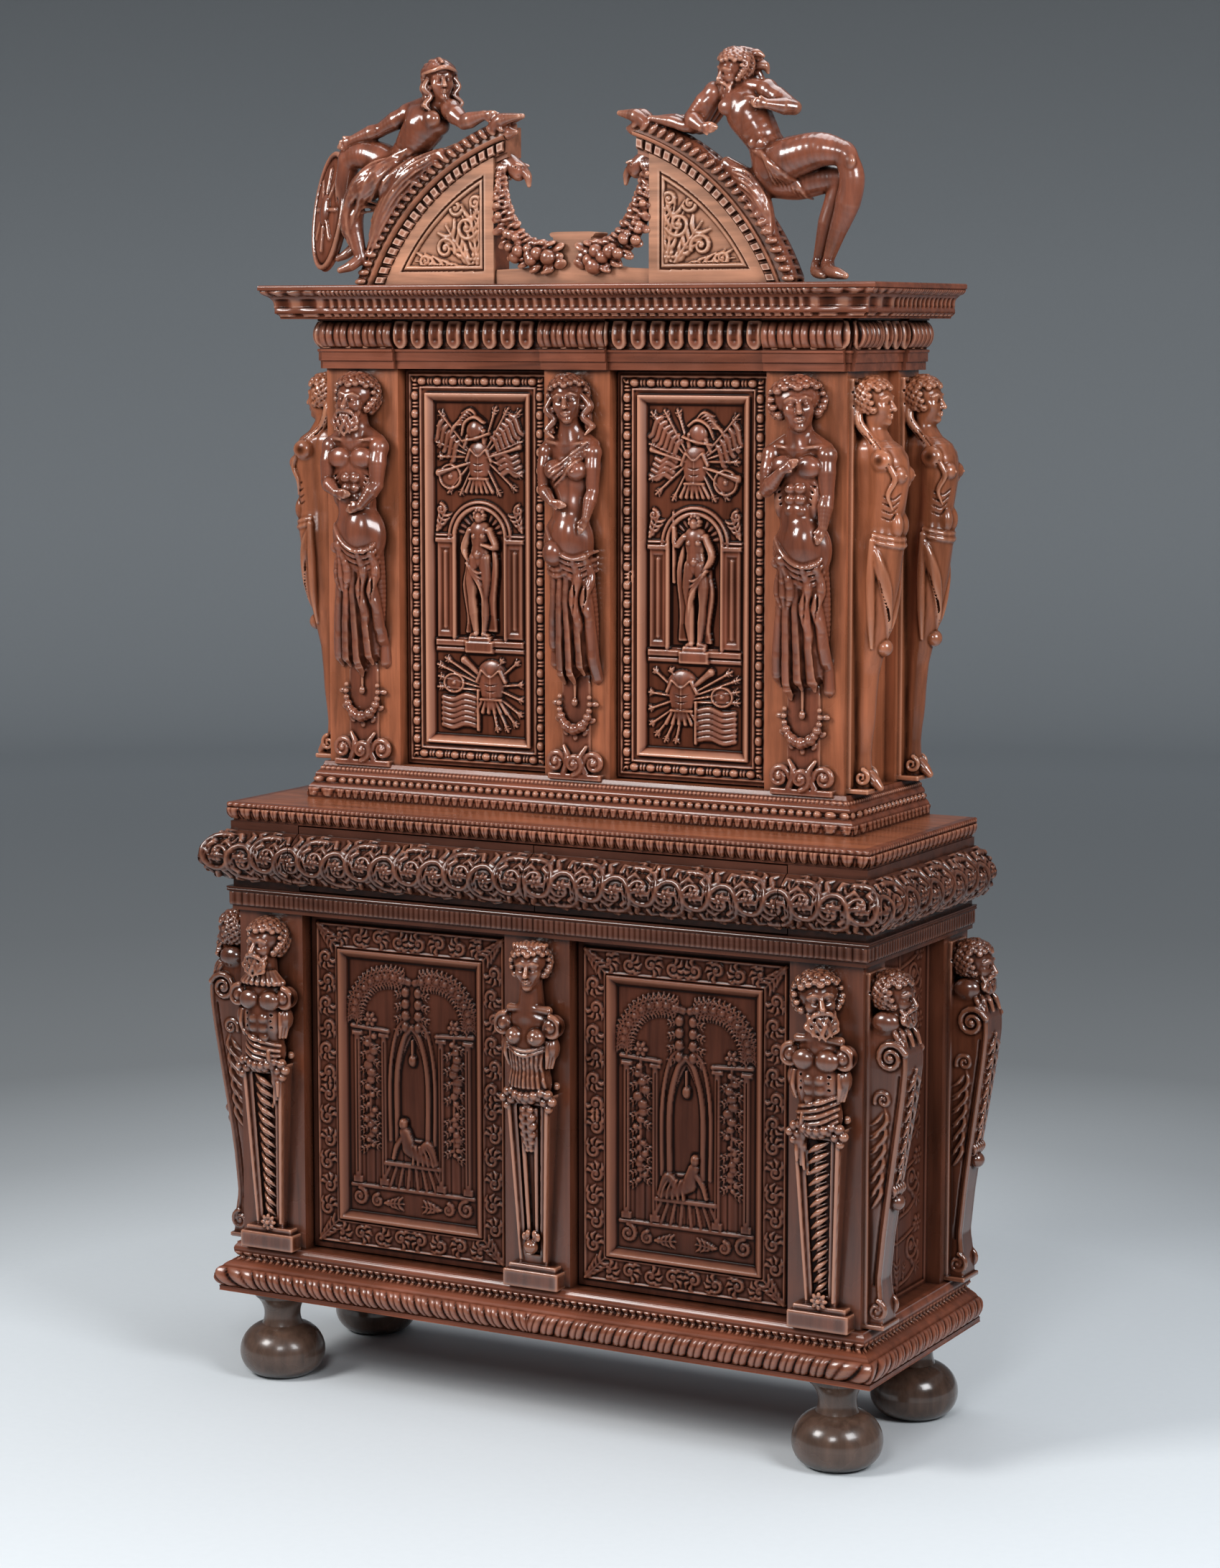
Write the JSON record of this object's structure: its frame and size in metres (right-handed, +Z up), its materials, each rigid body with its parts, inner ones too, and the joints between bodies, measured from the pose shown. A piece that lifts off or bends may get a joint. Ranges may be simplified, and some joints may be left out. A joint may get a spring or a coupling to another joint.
{
  "type": "two-part cabinet",
  "caption": "Carved walnut cabinet in two stages with pivoted panel doors, bulging frieze drawers, herm pilasters, bun feet and a broken arched pediment with reclining figures.",
  "frame": {"origin": "on the floor, midway across the width and the depth", "axes": "+Z up, -Y out of the front, +X to the right seen from the front"},
  "size_m": [1.46, 0.514, 2.492],
  "materials": {
    "walnut": "waxed",
    "carved_walnut": "waxed and rubbed",
    "pale_walnut": "waxed",
    "dark_walnut": "waxed",
    "inner_wood": "plain",
    "iron": "dark, forged"
  },
  "bodies": {
    "carcase": {"arch_cornice_left": "walnut", "arch_cornice_right": "walnut", "base_moulding": "walnut", "bun_feet": "dark_walnut", "cornice": "walnut", "door_pivot_pins": "iron", "drawer_runners": "inner_wood", "dust_board": "inner_wood", "frieze_ends": "walnut", "garland_left": "carved_walnut", "garland_right": "carved_walnut", "lower_architrave": "walnut", "lower_back_panel": "inner_wood", "lower_bottom_board": "inner_wood", "lower_centre_post": "walnut", "lower_corner_posts": "walnut", "lower_herm_centre": "carved_walnut", "lower_herm_left": "carved_walnut", "lower_herm_right": "carved_walnut", "lower_rails": "walnut", "lower_shelf": "inner_wood", "lower_side_herms": "carved_walnut", "lower_side_panels": "walnut", "pediment_centre_block": "pale_walnut", "pediment_tympanum_left": "pale_walnut", "pediment_tympanum_right": "pale_walnut", "reclining_figure_left": "carved_walnut", "reclining_figure_right": "carved_walnut", "top_board": "walnut", "upper_back_panel": "inner_wood", "upper_bottom_board": "inner_wood", "upper_centre_post": "walnut", "upper_corner_posts": "walnut", "upper_frieze": "walnut", "upper_herm_centre": "carved_walnut", "upper_herm_left": "carved_walnut", "upper_herm_right": "carved_walnut", "upper_plinth": "walnut", "upper_rails": "walnut", "upper_shelf": "inner_wood", "upper_side_herms": "carved_walnut", "upper_side_panels": "walnut", "waist_board": "walnut", "waist_moulding": "walnut"},
    "upper_left_door": {"upper_door_left_frame": "walnut", "upper_door_left_panel": "walnut"},
    "upper_right_door": {"upper_door_right_frame": "walnut", "upper_door_right_panel": "walnut", "upper_door_right_lock": "iron"},
    "lower_left_door": {"lower_door_left_frame": "walnut", "lower_door_left_panel": "walnut"},
    "lower_right_door": {"lower_door_right_frame": "walnut", "lower_door_right_panel": "walnut", "lower_door_right_lock": "iron"},
    "left_drawer": {"drawer_left_front": "walnut", "drawer_left_box": "inner_wood", "drawer_left_lock": "iron"},
    "right_drawer": {"drawer_right_front": "walnut", "drawer_right_box": "inner_wood", "drawer_right_lock": "iron"}
  },
  "joints": [
    {"name": "upper_left_door_hinge", "type": "hinge", "parent": "carcase", "child": "upper_left_door", "pos_m": [-0.354, -0.014, 1.557], "axis": [0, 0, -1], "range_deg": [0, 90]},
    {"name": "upper_right_door_hinge", "type": "hinge", "parent": "carcase", "child": "upper_right_door", "pos_m": [0.354, -0.014, 1.557], "axis": [0, 0, 1], "range_deg": [0, 90]},
    {"name": "lower_left_door_hinge", "type": "hinge", "parent": "carcase", "child": "lower_left_door", "pos_m": [-0.48, -0.166, 0.586], "axis": [0, 0, -1], "range_deg": [0, 90]},
    {"name": "lower_right_door_hinge", "type": "hinge", "parent": "carcase", "child": "lower_right_door", "pos_m": [0.48, -0.166, 0.586], "axis": [0, 0, 1], "range_deg": [0, 90]},
    {"name": "left_drawer_slide", "type": "slide", "parent": "carcase", "child": "left_drawer", "axis": [0, -1, 0], "range_m": [0, 0.28]},
    {"name": "right_drawer_slide", "type": "slide", "parent": "carcase", "child": "right_drawer", "axis": [0, -1, 0], "range_m": [0, 0.28]}
  ]
}
